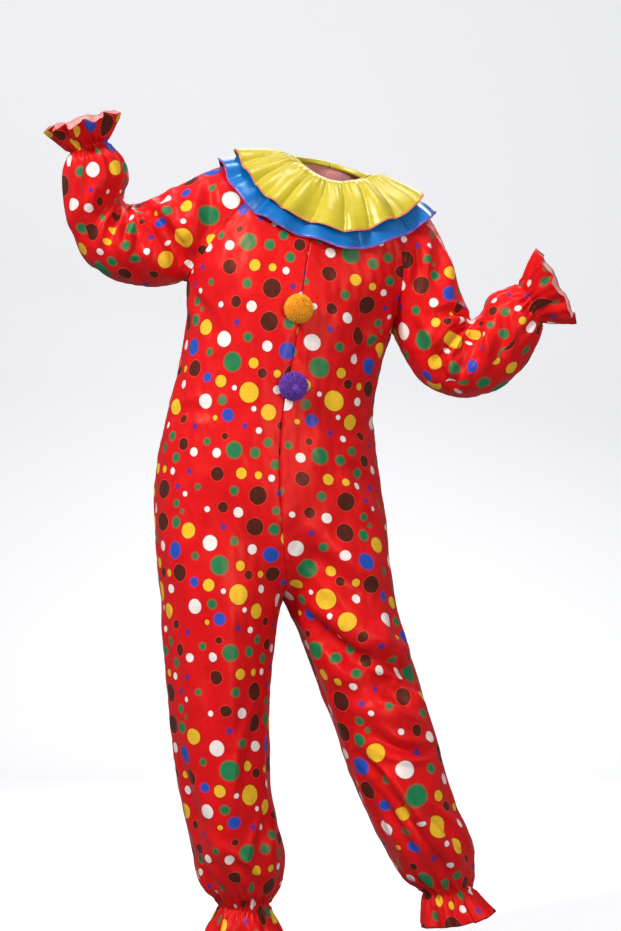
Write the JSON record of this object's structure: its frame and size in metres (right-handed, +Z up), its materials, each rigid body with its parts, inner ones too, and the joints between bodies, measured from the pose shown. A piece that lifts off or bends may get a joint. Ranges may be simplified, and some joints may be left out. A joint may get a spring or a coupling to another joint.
{
  "type": "clown jumpsuit",
  "caption": "Worn one-piece red satin clown suit with printed dots, raglan sleeves, gathered ruffled cuffs and ankles, a double ruffled collar and pompoms.",
  "frame": {"origin": "centre of the neck opening, where the wearer's neck passes through", "axes": "+Z up along the standing wearer, -Y out of the chest towards the viewer, +X towards the wearer's left"},
  "size_m": [0.9199, 0.2992, 1.4541],
  "materials": {
    "printed_satin": "soft polyester satin, red with printed dots in green, yellow, white, brown, blue and purple",
    "yellow_satin": "glossy polyester satin",
    "blue_satin": "glossy polyester satin",
    "orange_yarn": "dense tufted yarn",
    "purple_yarn": "dense tufted yarn"
  },
  "bodies": {
    "root": {"back_lap": "printed_satin", "back_left": "printed_satin", "back_right": "printed_satin", "collar_blue": "blue_satin", "collar_yellow": "yellow_satin", "front_left": "printed_satin", "front_right": "printed_satin", "neck_binding": "yellow_satin", "pom_orange": "orange_yarn", "pom_purple": "purple_yarn", "sleeve_left": "printed_satin", "sleeve_right": "printed_satin"}
  },
  "joints": []
}
